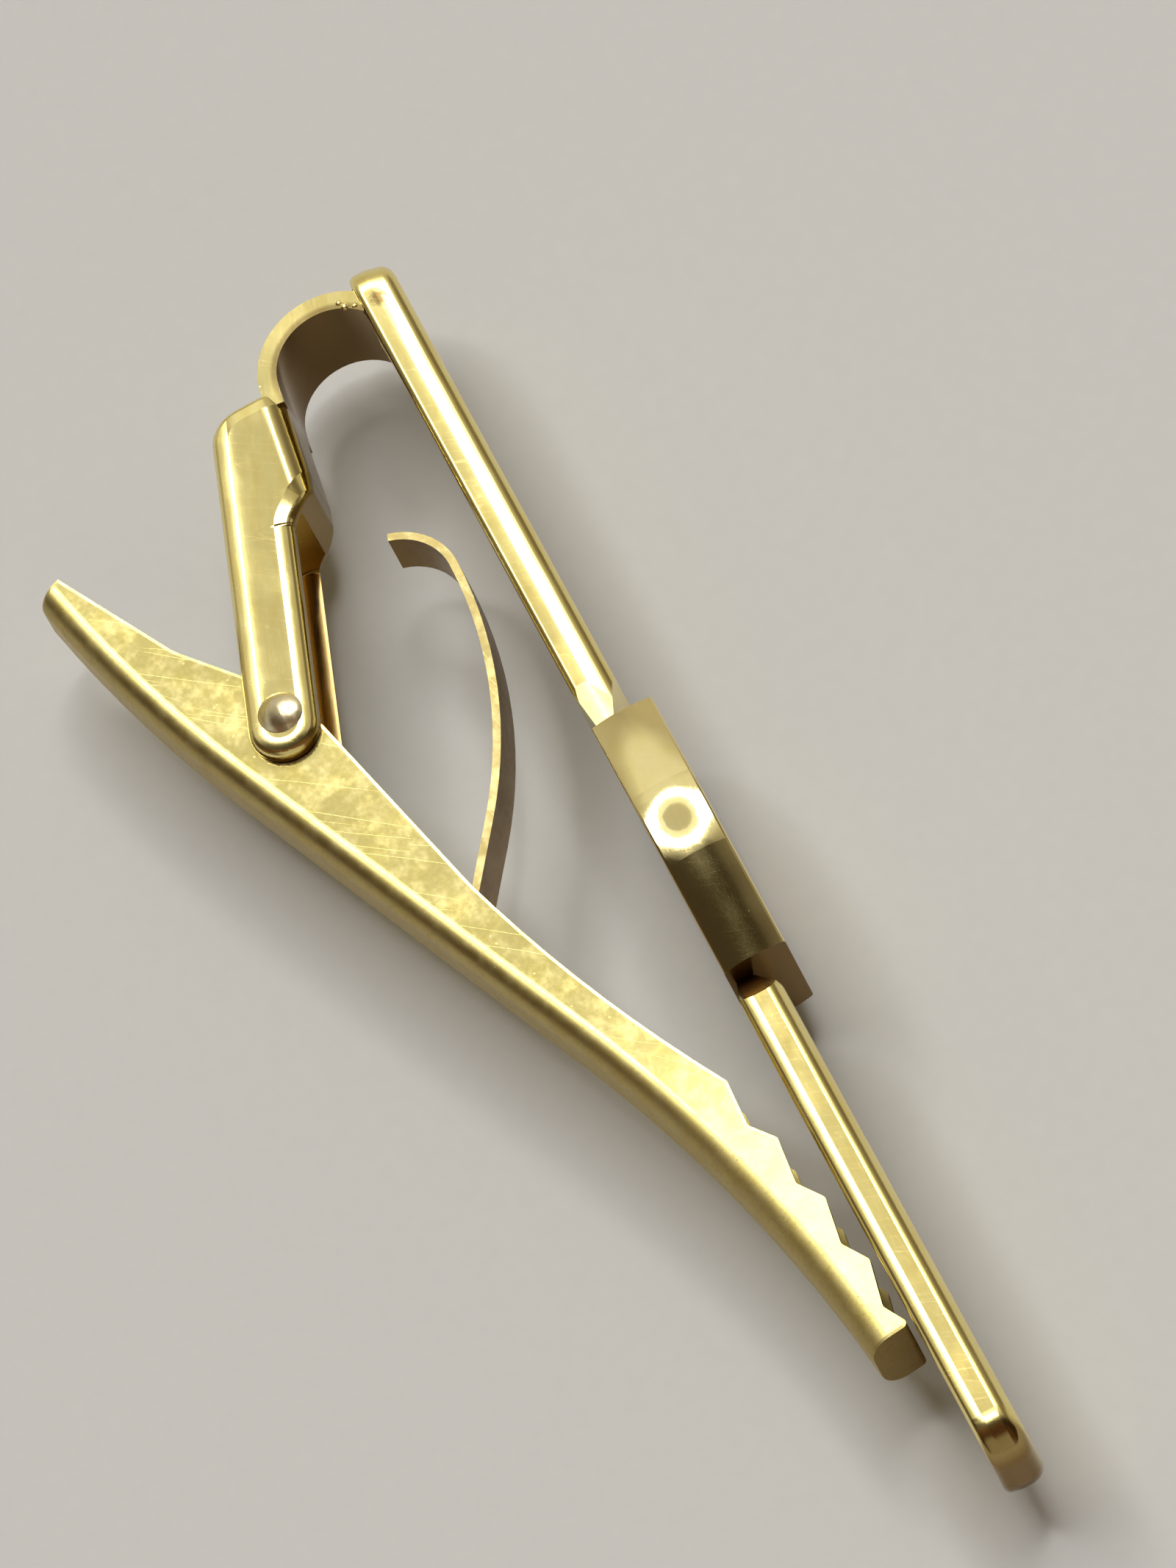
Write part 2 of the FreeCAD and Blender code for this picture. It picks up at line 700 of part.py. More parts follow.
def build_jaw():
    """Folded channel: thumb tail, cheeks for the pivot, and a bent mouth with teeth on both walls."""
    body = new_body("gripper_jaw", pivot_x, pivot_y, shift_z, jaw_lean)
    half_width = jaw_width / 2
    mouth_run = first_tooth + (TOOTH_COUNT - 1) * tooth_pitch
    tail_bow = (tail_reach * tail_reach + tail_rise * tail_rise) / (2 * tail_rise)
    tips = [tooth_tip(index) for index in range(TOOTH_COUNT)]
    valleys = [tooth_valley(index) for index in range(TOOTH_COUNT - 1)]
    teeth = [tips[-1]]
    for tip, valley in zip(reversed(tips[:-1]), reversed(valleys)):
        teeth += [valley, tip]
    brow = (brow_reach, brow_depth - floor_depth)
    cheek_front = (cheek_ahead, cheek_rise)
    cheek_back = (-cheek_behind, cheek_rise)
    tail_foot = (-tail_root, tail_root_depth - floor_depth)
    corners = [
        (-tail_reach, tail_end_y, tail_bow, 1),
        (0, -floor_depth),
        (bend_start, -floor_depth, bend_radius, -1),
        on_bend(mouth_run, as_size(0)),
        *teeth[:-1],
        (*teeth[-1], brow_radius, -1),
        brow,
        cheek_front,
        cheek_back,
        tail_foot,
        (-tail_reach, tail_end_y + tail_depth),
    ]
    pad(body, "jaw_blank", outline(body, "jaw_shape", corners), jaw_width)

    def on_floor(x, y):
        level = -floor_depth.value
        if x < 0:
            level += tail_bow.value - math.sqrt(tail_bow.value ** 2 - x * x)
        elif x > bend_start.value:
            level += math.sqrt(bend_radius.value ** 2 - (x - bend_start.value) ** 2) - bend_radius.value
        return abs(y - level) < jaw_sheet.value / 2

    soften(body, "jaw_folds", jaw_fold_round, rim_test(half_width, on_floor))
    soften(body, "cheeks", cheek_round, upright_at(cheek_front, cheek_back))
    soften(body, "tail_hollow", tail_root_round, upright_at(tail_foot))
    soften(body, "tooth_feet", tooth_foot_round, upright_at(*valleys))
    soften(body, "tooth_tips", tooth_tip_round, upright_at(*tips))
    facet(body, "jaw_rims", jaw_rim_facet, facet_lean, rim_test(half_width, lambda x, y: not on_floor(x, y)))

    inner_floor = jaw_sheet - floor_depth
    tail_inner = tail_reach - jaw_sheet
    inner_bow = tail_bow - jaw_sheet
    tail_inner_y = inner_floor + inner_bow - root(inner_bow * inner_bow - tail_inner * tail_inner)
    end_x, end_y = on_bend(mouth_run - jaw_sheet, jaw_sheet)
    over_x, over_y = on_bend(mouth_run - jaw_sheet, mouth_depth + cut_over)
    channel = outline(
        body,
        "channel_shape",
        (
            (-tail_inner, tail_inner_y, inner_bow, 1),
            (0, inner_floor),
            (bend_start, inner_floor, bend_radius + jaw_sheet, -1),
            (end_x, end_y),
            (over_x, over_y),
            (over_x, cheek_rise + cut_over),
            (-tail_inner, cheek_rise + cut_over),
        ),
    )
    pocket(body, "channel", channel, jaw_width - 2 * jaw_sheet)
    bore = circle(body, "jaw_bore_shape", 0, 0, pivot_radius + pivot_clearance)
    pocket(body, "jaw_bore", bore, jaw_width + cut_over)
    stud = circle(body, "stud_bore_shape", stud_x, 0, stud_radius + rivet_fit, "XZ_Plane")
    pocket(body, "stud_bore", stud, floor_depth + cut_over, False, True)
    return body


def build_pivot_rivet():
    """Round rivet with a low dome on each ear."""
    body = new_body("pivot_rivet", pivot_x, pivot_y)
    seat = bracket_width / 2
    dome = dome_radius(head_radius, head_height)
    profile = (
        (0, -seat - head_height, dome, 1),
        (head_radius, -seat),
        (pivot_radius, -seat),
        (pivot_radius, seat),
        (head_radius, seat, dome, 1),
        (0, seat + head_height),
    )
    spin(body, "rivet_solid", outline(body, "rivet_profile", profile, "XZ_Plane"))
    return body


def bent(x, y, heading, radius, turn, side):
    """Where a bend ends and how it heads on, turning to the left (side 1) or to the right (side -1)."""
    after = heading + side * turn
    end_x = x + side * radius * (sine(after) - sine(heading))
    end_y = y - side * radius * (cosine(after) - cosine(heading))
    return end_x, end_y, after


def leaf_path():
    """Middle line of the spring from the foot to the curl: (x, y, heading) and any bend that follows."""
    level = jaw_sheet - floor_depth + spring_seat + spring_sheet / 2
    bend_run = foot_bend * sine(foot_turn / 2) / cosine(foot_turn / 2)
    foot_end = (spring_foot + foot_length, level, Size(180.0, "180"))
    foot = (spring_foot + bend_run, level, Size(180.0, "180"))
    rise = bent(*foot, foot_bend, foot_turn, -1)
    # The bow ends level with the bar, and the straight stretch before it lifts it to its gap there
    bow_turn = foot_turn - jaw_lean
    top_x, top_y, _ = bent(*rise, bow_radius, bow_turn, 1)
    top_drop = pivot_drop - top_x * sine(jaw_lean) - top_y * cosine(jaw_lean)
    rise_length = derived(
        "rise_length",
        (top_drop - spring_gap - spring_sheet / 2) / sine(bow_turn),
        "straight stretch of the leaf",
    )
    bow = (rise[0] + rise_length * cosine(rise[2]), rise[1] + rise_length * sine(rise[2]), rise[2])
    curl = bent(*bow, bow_radius, bow_turn, 1)
    curl_end = bent(*curl, curl_radius, curl_turn, 1)
    return [
        foot_end,
        (*foot, foot_bend, -1),
        rise,
        (*bow, bow_radius, 1),
        (*curl, curl_radius, 1),
        curl_end,
    ]


def build_spring():
    """Bowed leaf: a foot riveted in the channel, a long bow towards the bar and a curled free end."""
    body = new_body("leaf_spring", pivot_x, pivot_y, shift_z, jaw_lean)
    path = leaf_path()
    half = spring_sheet / 2

    def beside(point, side):
        x, y, heading = point[:3]
        return x - side * half * sine(heading), y + side * half * cosine(heading)

    corners = []
    for point in path:
        corner = beside(point, -1)
        if len(point) > 3:
            radius, side = point[3:]
            corner += (radius + side * half, side)
        corners.append(corner)
    for place in reversed(range(len(path))):
        corner = beside(path[place], 1)
        if place > 0 and len(path[place - 1]) > 3:
            radius, side = path[place - 1][3:]
            corner += (radius - side * half, -side)
        corners.append(corner)
    pad(body, "leaf", outline(body, "leaf_shape", corners), spring_width)
    stud = circle(body, "leaf_bore_shape", stud_x, 0, stud_radius + rivet_fit, "XZ_Plane")
    pocket(body, "leaf_bore", stud, floor_depth + cut_over, False, True)
    return body


def build_stud():
    """Small rivet through the spring's foot and the jaw's floor, filed flush outside."""
    place_x = pivot_x + stud_x * cosine(jaw_lean)
    place_y = pivot_y + stud_x * sine(jaw_lean)
    body = new_body("spring_rivet", place_x, place_y, shift_z, jaw_lean)
    seat = jaw_sheet - floor_depth + spring_seat + spring_sheet
    dome = dome_radius(stud_head_radius, stud_head_height)
    profile = (
        (0, -floor_depth),
        (stud_radius, -floor_depth),
        (stud_radius, seat),
        (stud_head_radius, seat, dome, 1),
        (0, seat + stud_head_height),
    )
    spin(body, "stud_solid", outline(body, "stud_profile", profile))
    return body


hinge_rims = (
    ("front", bar_thick, hinge_facet, hinge_front_round),
    ("back", as_size(0), None, hinge_back_round),
)
tip_rims = (
    ("front", bar_thick, tip_front_facet, tip_front_round),
    ("back", as_size(0), tip_back_facet, tip_back_round),
)
hinge_spigot_end = saddle_start + spigot_length
tip_spigot_end = saddle_end - spigot_length
pieces = [
    build_arm(
        "hinge_arm", 1, as_size(0), taper_start, saddle_start, hinge_neck_width, hinge_spigot_end, hinge_rims
    ),
    build_arm("tip_arm", -1, bar_length, taper_end, saddle_end, tip_neck_width, tip_spigot_end, tip_rims),
    build_saddle(),
    build_bracket(),
    build_pivot_rivet(),
    build_jaw(),
    build_spring(),
    build_stud(),
]

doc.recompute()
for thing in doc.Objects:
    if "Invalid" in thing.State or "Error" in thing.State:
        raise RuntimeError(f"{thing.Name} failed: {thing.State}")
for piece in pieces:
    if piece.Shape.isNull() or not piece.Shape.isValid() or len(piece.Shape.Solids) != 1:
        raise RuntimeError(f"{piece.Label} is not one sound solid")

os.makedirs("parts", exist_ok=True)
for piece in pieces:
    piece.Shape.exportStep(f"parts/{piece.Label}.step")
    box = piece.Shape.BoundBox
    print(
        f"{piece.Label}: {piece.Shape.Volume:.2f} mm3,"
        f" x {box.XMin:.2f} to {box.XMax:.2f}, y {box.YMin:.2f} to {box.YMax:.2f},"
        f" z {box.ZMin:.2f} to {box.ZMax:.2f}"
    )
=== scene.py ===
import math

import bmesh
import bpy
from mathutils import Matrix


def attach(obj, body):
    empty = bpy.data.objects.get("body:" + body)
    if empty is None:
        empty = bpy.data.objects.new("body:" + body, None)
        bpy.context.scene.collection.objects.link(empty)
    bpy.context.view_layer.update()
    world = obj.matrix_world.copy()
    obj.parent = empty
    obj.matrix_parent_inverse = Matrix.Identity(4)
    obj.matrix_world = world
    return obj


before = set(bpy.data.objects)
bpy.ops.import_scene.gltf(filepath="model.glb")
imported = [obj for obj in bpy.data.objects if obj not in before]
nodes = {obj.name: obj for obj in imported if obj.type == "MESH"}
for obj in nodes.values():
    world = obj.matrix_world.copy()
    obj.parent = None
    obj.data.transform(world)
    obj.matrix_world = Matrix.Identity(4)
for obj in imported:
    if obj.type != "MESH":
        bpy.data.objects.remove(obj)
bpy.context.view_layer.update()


# ---- Hinge arm -------------------------------------------------------------------------------
# Half of the front bar on the hinge side: drawn brass strip with a round end, filed to a tongue
# beside the centre, soldered there, then buffed to a mirror and gold plated. The buffing wheel
# leaves hair lines along the bar, a dip near the end and a small dark smudge beside it.

MILLIMETRES = 1000.0
TO_TIP, TO_FRONT, UP = (1.0, 0.0, 0.0), (0.0, 1.0, 0.0), (0.0, 0.0, 1.0)


class Shade:
    """One output of a finish's nodes. Sums on it add Math nodes, so a finish reads as Python."""

    SHARE, FIRST, SECOND, MIXED = 0, 6, 7, 2  # the sockets of a Mix node that mixes colours

    def __init__(self, tree, made=None, out=0):
        self.tree = tree
        self.made = made
        self.socket = made.outputs[out] if made and made.outputs else None

    def node(self, kind, settings=None, sockets=None, out=0):
        """Any node: its type, its settings (also a ramp's stops), its sockets' values or links."""
        made = self.tree.nodes.new(kind)
        for setting, value in (settings or {}).items():
            if setting == "stops":
                while len(made.color_ramp.elements) < len(value):
                    made.color_ramp.elements.new(1.0)
                for stop, (position, tone) in zip(made.color_ramp.elements, value):
                    stop.position = position
                    stop.color = (*tone, 1.0)
            else:
                setattr(made, setting, value)
        for name, value in (sockets or {}).items():
            self.feed(made.inputs[name], value)
        return Shade(self.tree, made, out)

    def output(self, name):
        """Another output of the node that this one comes from."""
        return Shade(self.tree, self.made, name)

    def feed(self, socket, value):
        """Links a socket to another shade, or sets it to a number, a way or a colour."""
        if isinstance(value, Shade):
            self.tree.links.new(value.socket, socket)
        elif isinstance(value, tuple) and len(value) == 3 and len(socket.default_value) == 4:
            socket.default_value = (*value, 1.0)
        else:
            socket.default_value = value

    def maths(self, operation, *terms):
        """A Math node on these terms."""
        return self.node("ShaderNodeMath", {"operation": operation}, dict(enumerate(terms)))

    def __add__(self, other):
        return self.maths("ADD", self, other)

    __radd__ = __add__

    def __sub__(self, other):
        return self.maths("SUBTRACT", self, other)

    def __rsub__(self, other):
        return self.maths("SUBTRACT", other, self)

    def __mul__(self, other):
        return self.maths("MULTIPLY", self, other)

    __rmul__ = __mul__

    def __abs__(self):
        return self.maths("ABSOLUTE", self)

    def held(self, low, high):
        """This value, held between low and high."""
        return self.node("ShaderNodeClamp", {}, {"Value": self, "Min": low, "Max": high})

    def between(self, begins, full):
        """0 up to where it begins, 1 from where it is full, smooth in between. Either may be the
        higher one."""
        return self.node("ShaderNodeMapRange", {"interpolation_type": "SMOOTHSTEP"},
                         {"Value": self, "From Min": begins, "From Max": full})

    def mix(self, share, first, second):
        """A colour that goes from first to second with share."""
        return self.node("ShaderNodeMix", {"data_type": "RGBA"},
                         {self.SHARE: share, self.FIRST: first, self.SECOND: second},
                         out=self.MIXED)

    def along(self, way):
        """How far this place, or this direction, reaches along a way."""
        return self.node("ShaderNodeVectorMath", {"operation": "DOT_PRODUCT"},
                         {0: self, 1: way}, out="Value")

    def apart(self, spot):
        """Distance of this place from a spot."""
        return self.node("ShaderNodeVectorMath", {"operation": "DISTANCE"},
                         {0: self, 1: spot}, out="Value")

    def stretch(self, pace, turn):
        """This place on axes turned by degrees about the upright one. Lengths along the first count
        as pace times what they are, so a noise on it is drawn out that way."""
        return self.node("ShaderNodeMapping", {"vector_type": "TEXTURE"},
                         {"Vector": self, "Rotation": (0.0, 0.0, math.radians(turn)),
                          "Scale": (1.0 / pace, 1.0, 1.0)})

    def cloud(self, size, detail):
        """Soft noise about 0.5 at this place, whose lumps are about size across."""
        return self.node("ShaderNodeTexNoise", {},
                         {"Vector": self, "Scale": 1.0 / size, "Detail": detail})

    def hollow(self, reach, rays=4):
        """1 in the open, towards 0 in corners and hollows that are about reach deep."""
        return self.node("ShaderNodeAmbientOcclusion", {"samples": rays},
                         {"Distance": reach / MILLIMETRES}, out="AO")


def new_finish(name):
    """An empty finish: the material, its nodes, its places in millimetres and the way it faces."""
    material = bpy.data.materials.new(name)
    material.use_nodes = True
    tree = material.node_tree
    tree.nodes.clear()
    start = Shade(tree)
    metres = start.node("ShaderNodeTexCoord", out="Object")
    place = start.node("ShaderNodeVectorMath", {"operation": "SCALE"},
                       {"Vector": metres, "Scale": MILLIMETRES}, out="Vector")
    return material, start, place, metres.output("Normal")


LINE_PACE, CLOUD_MIDDLE = 0.06, 0.5
PIT_FLOOR, LOT_STEP = 0.3, 0.01


def hair_lines(place, turn, spacing, thin):
    """Fine scratches along the turned X, spacing apart: 1 on a line, 0 off it."""
    drawn = place.stretch(LINE_PACE, turn).cloud(spacing, detail=1.0)
    return abs(drawn - CLOUD_MIDDLE).between(thin, 0.0)


def pits(place, pitch, radius, share):
    """Round pits, pitch apart on average, in the given share of the cells."""
    far = place.node("ShaderNodeTexVoronoi", {}, {"Vector": place, "Scale": 1.0 / pitch},
                     out="Distance")
    near = far.between(radius / pitch, PIT_FLOOR * radius / pitch)
    lot = place.node("ShaderNodeSeparateColor", {}, {"Color": far.output("Color")})
    return near * lot.between(share + LOT_STEP, share)


def metal(material, start, tone, roughness, height):
    """Closes a finish: bare metal with its colour, its roughness and its relief in millimetres."""
    relief = start.node("ShaderNodeBump", {}, {
        "Strength": 1.0, "Distance": 1.0 / MILLIMETRES, "Height": height})
    surface = start.node("ShaderNodeBsdfPrincipled", {}, {
        "Base Color": tone, "Metallic": 1.0, "Roughness": roughness, "Normal": relief})
    start.node("ShaderNodeOutputMaterial", {}, {"Surface": surface})
    return material


# A pair that is named for a mark or a region says where it begins and where it is full
STANDING, TURNED_AWAY = (0.55, 0.12), (0.92, 0.6)


def upright(facing):
    """1 on walls and sides, 0 on what faces up or down."""
    return abs(facing.along(UP)).between(*STANDING)


def painted_shade_walls(facing):
    """1 on walls other than the bar's front, which get painted shade; 0 on what faces up or down.
    """
    return upright(facing) * facing.along(TO_FRONT).between(*TURNED_AWAY)


def rolled(out, width, first, last):
    """Relief that rolls a facet over: out is the distance past its inner edge, and its lean changes
    by first degrees there and by last at its outer edge."""
    near, far = math.tan(math.radians(first)), math.tan(math.radians(last))
    run = out.held(0.0, width)
    return run * (run * ((near - far) / (2.0 * width)) - near)


PIT_BROWN = (0.30, 0.18, 0.06)
# Brown for stains and for painted shade, a darker brown for closed-in corners, and how much painted
# shade the hollows get
STAIN_AND_SHADE_BROWN = (0.20, 0.11, 0.038)
CLOSED_IN_BROWN = (0.10, 0.055, 0.02)
HOLLOWED, HOLLOW_SHADE_TINT, MOST_BROWN = (0.6, 0.25), 0.7, 0.92


def stained_and_shaded(start, marked, stain_and_shade_share, closed_in, closed_in_tint):
    """A gold with its stains and its painted shade, more painted shade in its hollows, and its
    closed-in corners darker.
    """
    # Painted shade in hollows about 3 mm deep, added to each piece's stains and painted shade
    shade = start.hollow(reach=3.0).between(*HOLLOWED)
    stain_and_shade_colour = start.mix((stain_and_shade_share + shade * HOLLOW_SHADE_TINT).held(0.0, MOST_BROWN), marked, STAIN_AND_SHADE_BROWN)
    return start.mix(closed_in * closed_in_tint, stain_and_shade_colour, CLOSED_IN_BROWN)


# How much each mark of the buffed plate shows: as a tint, as roughness, as a depth in millimetres
SCRATCH_TURN, SMEAR_PACE, WAVE_PACE = 67.0, 0.25, 0.4
BUFFED_CORNER, PATCHY_CLOSED_IN, SMEARED, HAZY = (0.55, 0.15), (0.25, 0.6), (0.35, 0.75), (0.4, 0.75)
SMEAR_TINT, SCRATCH_TINT, PIT_TINT, CLOSED_IN_TINT = 0.6, 0.12, 0.4, 0.75
WHEEL_DULL, SCRATCH_DULL, PIT_DULL, CLOSED_IN_DULL = 0.03, 0.06, 0.25, 0.3
WHEEL_DEPTH, SCRATCH_DEPTH, PIT_DEPTH, WAVE_RISE = 0.00014, 0.0003, 0.0018, 0.012


def polished_gold(name, tone, deep_tone, lengthwise, haze_size, gloss, dull, marks, wear):
    """Buffed gold plate: waves, hair lines, scratches, pits, haze, painted shade in hollows and
    darker closed-in corners.

    wear(place, facing) gives the piece's own share of stains and painted shade, added roughness and
    swell in mm."""
    material, start, place, facing = new_finish(name)
    stain_and_shade_share, softer, swell = wear(place, facing)
    wheel = hair_lines(place, lengthwise, spacing=0.09, thin=0.035)
    scratch = hair_lines(place, lengthwise + SCRATCH_TURN, spacing=0.55, thin=0.006) * marks
    pit = pits(place, pitch=0.55, radius=0.05, share=0.16) * marks
    haze = place.cloud(haze_size, detail=4.0)
    smear = place.stretch(SMEAR_PACE, lengthwise).cloud(size=0.5, detail=3.0)
    wave = place.stretch(WAVE_PACE, lengthwise).cloud(size=1.6, detail=0.0)
    # Darker and duller in corners by how closed in they are, in patches
    closed_in = start.hollow(reach=0.7).between(*BUFFED_CORNER) * haze.between(*PATCHY_CLOSED_IN)
    fine = start.mix(smear.between(*SMEARED) * SMEAR_TINT, tone, deep_tone)
    marked = start.mix(scratch * SCRATCH_TINT + pit * PIT_TINT, fine, PIT_BROWN)
    colour = stained_and_shaded(start, marked, stain_and_shade_share, closed_in, CLOSED_IN_TINT)
    roughness = (gloss + haze.between(*HAZY) * dull + wheel * WHEEL_DULL + scratch * SCRATCH_DULL
                 + pit * PIT_DULL + closed_in * CLOSED_IN_DULL + softer)
    height = (swell + wave * WAVE_RISE - scratch * SCRATCH_DEPTH - wheel * WHEEL_DEPTH
              - pit * PIT_DEPTH)
    return metal(material, start, colour, roughness, height)


def dress(node, finish):
    """Gives a solid of the frame its finish."""
    slots = nodes[node].data.materials
    slots.clear()
    slots.append(finish)


ARM_TONE, ARM_DEEP = (0.94, 0.81, 0.33), (0.88, 0.70, 0.23)
ALONG_BAR = 0.0
BAR_BACK, BAR_FRONT = 7.209, 9.009
HINGE_FACET, HINGE_FLAT = 1.05, 0.45
HINGE_FACET_ROLL, HINGE_FLAT_ROLL = (-6.0, 8.0), (0.0, 5.5)
SMUDGE_MIDDLE, SMUDGED, SPECKLED = (-28.87, 7.99, 6.6), (0.55, 0.2), (0.3, 0.55)
DIPPED, DIP_LEAN, DIP_DULL = (-25.0, -30.4), 0.05, 0.05
SMUDGE_BROWNED, HINGE_WALL_SHADE = 0.8, 0.45


def hinge_arm_wear(place, facing):
    """A smudge and a dip near the end, and a flat and a facet that roll over towards the front."""
    speckle = place.cloud(size=0.3, detail=2.0).between(*SPECKLED)
    smudge = place.apart(SMUDGE_MIDDLE).between(*SMUDGED) * speckle
    dip = place.along(TO_TIP).between(*DIPPED)
    to_front = place.along(TO_FRONT)
    edge = BAR_FRONT - HINGE_FACET
    flat = rolled(to_front - (edge - HINGE_FLAT), HINGE_FLAT, *HINGE_FLAT_ROLL)
    front_facet = rolled(to_front - edge, HINGE_FACET, *HINGE_FACET_ROLL)
    # The smudge, and painted shade on the walls other than the front
    return (smudge * SMUDGE_BROWNED + painted_shade_walls(facing) * HINGE_WALL_SHADE, dip * DIP_DULL,
            flat + front_facet + dip * (to_front - BAR_BACK) * DIP_LEAN)


dress("hinge_arm", polished_gold("hinge_arm_gold", ARM_TONE, ARM_DEEP, ALONG_BAR, haze_size=3.0,
                                 gloss=0.18, dull=0.08, marks=1.0, wear=hinge_arm_wear))


# ---- Tip arm ---------------------------------------------------------------------------------
# The other half of the front bar, of the same strip, filed to a narrow neck. It is soldered to the
# centre like its twin and buffed with it; its neck, its round end and its walls carry painted
# shade.

NECK, ROUND_END = (8.3, 7.5), (0.22, 0.5)
FRONT_FACET, BACK_FACET = 0.62, 0.60
FRONT_FACET_ROLL, BACK_FACET_ROLL = (-1.0, 18.0), (-6.0, 14.0)
NECK_SHADE, TIP_END_SHADE, TIP_WALL_SHADE = 0.8, 0.72, 0.2
NECK_DULL, TIP_BRIGHT = 0.1, 0.09


def tip_arm_wear(place, facing):
    """Painted shade on the neck, walls and glossier end; two facets that roll to front and back."""
    neck = place.along(TO_TIP).between(*NECK)
    end = facing.along(TO_TIP).between(*ROUND_END)
    to_front = place.along(TO_FRONT)
    front_facet = rolled(to_front - (BAR_FRONT - FRONT_FACET), FRONT_FACET, *FRONT_FACET_ROLL)
    back_facet = rolled((BAR_BACK + BACK_FACET) - to_front, BACK_FACET, *BACK_FACET_ROLL)
    # Painted shade on the neck beside the centre, on the round end and on the walls other than the
    # front
    return (neck * NECK_SHADE + end * TIP_END_SHADE + painted_shade_walls(facing) * TIP_WALL_SHADE,
            neck * NECK_DULL - end * TIP_BRIGHT, front_facet + back_facet)


dress("tip_arm", polished_gold("tip_arm_gold", ARM_TONE, ARM_DEEP, ALONG_BAR, haze_size=2.6,
                               gloss=0.18, dull=0.07, marks=1.0, wear=tip_arm_wear))


# ---- Centre saddle ---------------------------------------------------------------------------
# The raised centre of the bar: a solid brass block filed to two slopes with a swelled crest, and
# soldered over both necks. It is buffed last, so it has the sharpest mirror; its sawn end on the
# tip's side and its walls carry painted shade.

SADDLE_TONE, SADDLE_DEEP = (0.92, 0.80, 0.40), (0.88, 0.74, 0.31)
CREST_END, SLOPE_RUN, SLOPE_ROLL = -1.55, 4.6, (-4.0, 3.0)
SAWN_END, SAWN_END_SHADE, SADDLE_WALL_SHADE = (0.6, 0.9), 0.8, 0.45
SAWN_DULL, SWIRL_RISE = 0.15, 0.02


def saddle_wear(place, facing):
    """Painted shade on sawn end and walls, a slight swirl, a slope that rolls away from the crest.
    """
    sawn = facing.along(TO_TIP).between(*SAWN_END)
    swirl = place.cloud(size=2.4, detail=0.0)
    slope = rolled(CREST_END - place.along(TO_TIP), SLOPE_RUN, *SLOPE_ROLL)
    # Painted shade on the sawn end and on the walls other than the front
    return (sawn * SAWN_END_SHADE + painted_shade_walls(facing) * SADDLE_WALL_SHADE, sawn * SAWN_DULL,
            swirl * SWIRL_RISE + slope)


dress("centre_saddle", polished_gold("saddle_gold", SADDLE_TONE, SADDLE_DEEP, ALONG_BAR,
                                     haze_size=4.0, gloss=0.05, dull=0.04, marks=0.35,
                                     wear=saddle_wear))


# ---- Hinge bracket ---------------------------------------------------------------------------
# One blank of sheet brass, soldered to the bar's back, bent out in a strap and folded into a web
# with two ears for the jaw. It is plated with the bar, but the strap and the ears' outer edges are
# only brushed, so they are softer than the ears' faces.

BRACKET_TONE, BRACKET_DEEP = (0.94, 0.82, 0.36), (0.88, 0.71, 0.24)
DOWN_THE_EARS = -17.72
ALONG_THE_EARS = (math.cos(math.radians(DOWN_THE_EARS)), math.sin(math.radians(DOWN_THE_EARS)), 0.0)
ACROSS_THE_EARS = (-ALONG_THE_EARS[1], ALONG_THE_EARS[0], 0.0)
PIVOT = (-13.75, -3.341, 4.1)
EAR_CAP, PAST_THE_EAR, PAST_THE_NOTCH = 0.44, 6.75, (-8.75, -8.45)
EAR_FLAT, EAR_SOFT, EAR_FACET = 0.71, 0.5, 0.75
EAR_SOFT_ROLL, EAR_FACET_ROLL = (0.0, 6.0), (-3.5, 13.0)
OUTER_EDGE, STRAP = (-0.45, -1.25), (1.6, 3.2)
STRAP_MIDDLE, INNER_LIP = (-27.3, 5.242, 0.0), (2.84, 2.62)
FACES_UP, LOWER_EAR, FACES_TIP = (0.15, 0.6), (4.6, 3.9), (-0.35, 0.15)
HOLLOW_SIDE_SHADE, WALL_SHADE, LIP_BROWNED, INSIDE_SHADE = 0.65, 0.2, 0.6, 0.9
EDGE_DULL, STRAP_DULL = 0.1, 0.05


def past_pivot(place, way):
    """How far this place lies past the pivot along a way."""
    return place.along(way) - sum(p * w for p, w in zip(PIVOT, way))


def bracket_wear(place, facing):
    """Rims that roll over all round the ears, brushed edges, a brown inner lip on the strap, and
    painted shade on the walls and on the faces that look up low between the ears.
    """
    ahead = past_pivot(place, ALONG_THE_EARS)
    beside = past_pivot(place, ACROSS_THE_EARS)
    past_cap = ahead.held(EAR_CAP, PAST_THE_EAR) - EAR_CAP
    past_notch = ahead.between(*PAST_THE_NOTCH)
    off_middle = beside.held(-PAST_THE_EAR, 0.0) + beside.held(0.0, PAST_THE_EAR) * past_notch
    off_line = off_middle * off_middle + past_cap * past_cap
    past_flat = off_line.maths("SQRT", off_line) - EAR_FLAT
    rim = (rolled(past_flat + EAR_SOFT, EAR_SOFT, *EAR_SOFT_ROLL)
           + rolled(past_flat, EAR_FACET, *EAR_FACET_ROLL))
    outer_edge = beside.between(*OUTER_EDGE)
    strap = place.along(TO_FRONT).between(*STRAP)
    seen_from_above = place.node("ShaderNodeVectorMath", {"operation": "MULTIPLY"},
                                 {0: place, 1: (1.0, 1.0, 0.0)})
    inner_lip = seen_from_above.apart(STRAP_MIDDLE).between(*INNER_LIP) * strap
    # Painted shade on the faces that look up low between the ears, and on the walls, most on those
    # that face the tip
    inside = facing.along(UP).between(*FACES_UP) * place.along(UP).between(*LOWER_EAR)
    hollow_side = facing.along(TO_TIP).between(*FACES_TIP)
    walls = upright(facing) * (hollow_side * HOLLOW_SIDE_SHADE + WALL_SHADE)
    return (walls + inner_lip * LIP_BROWNED + inside * INSIDE_SHADE,
            outer_edge * EDGE_DULL + strap * STRAP_DULL, rim)


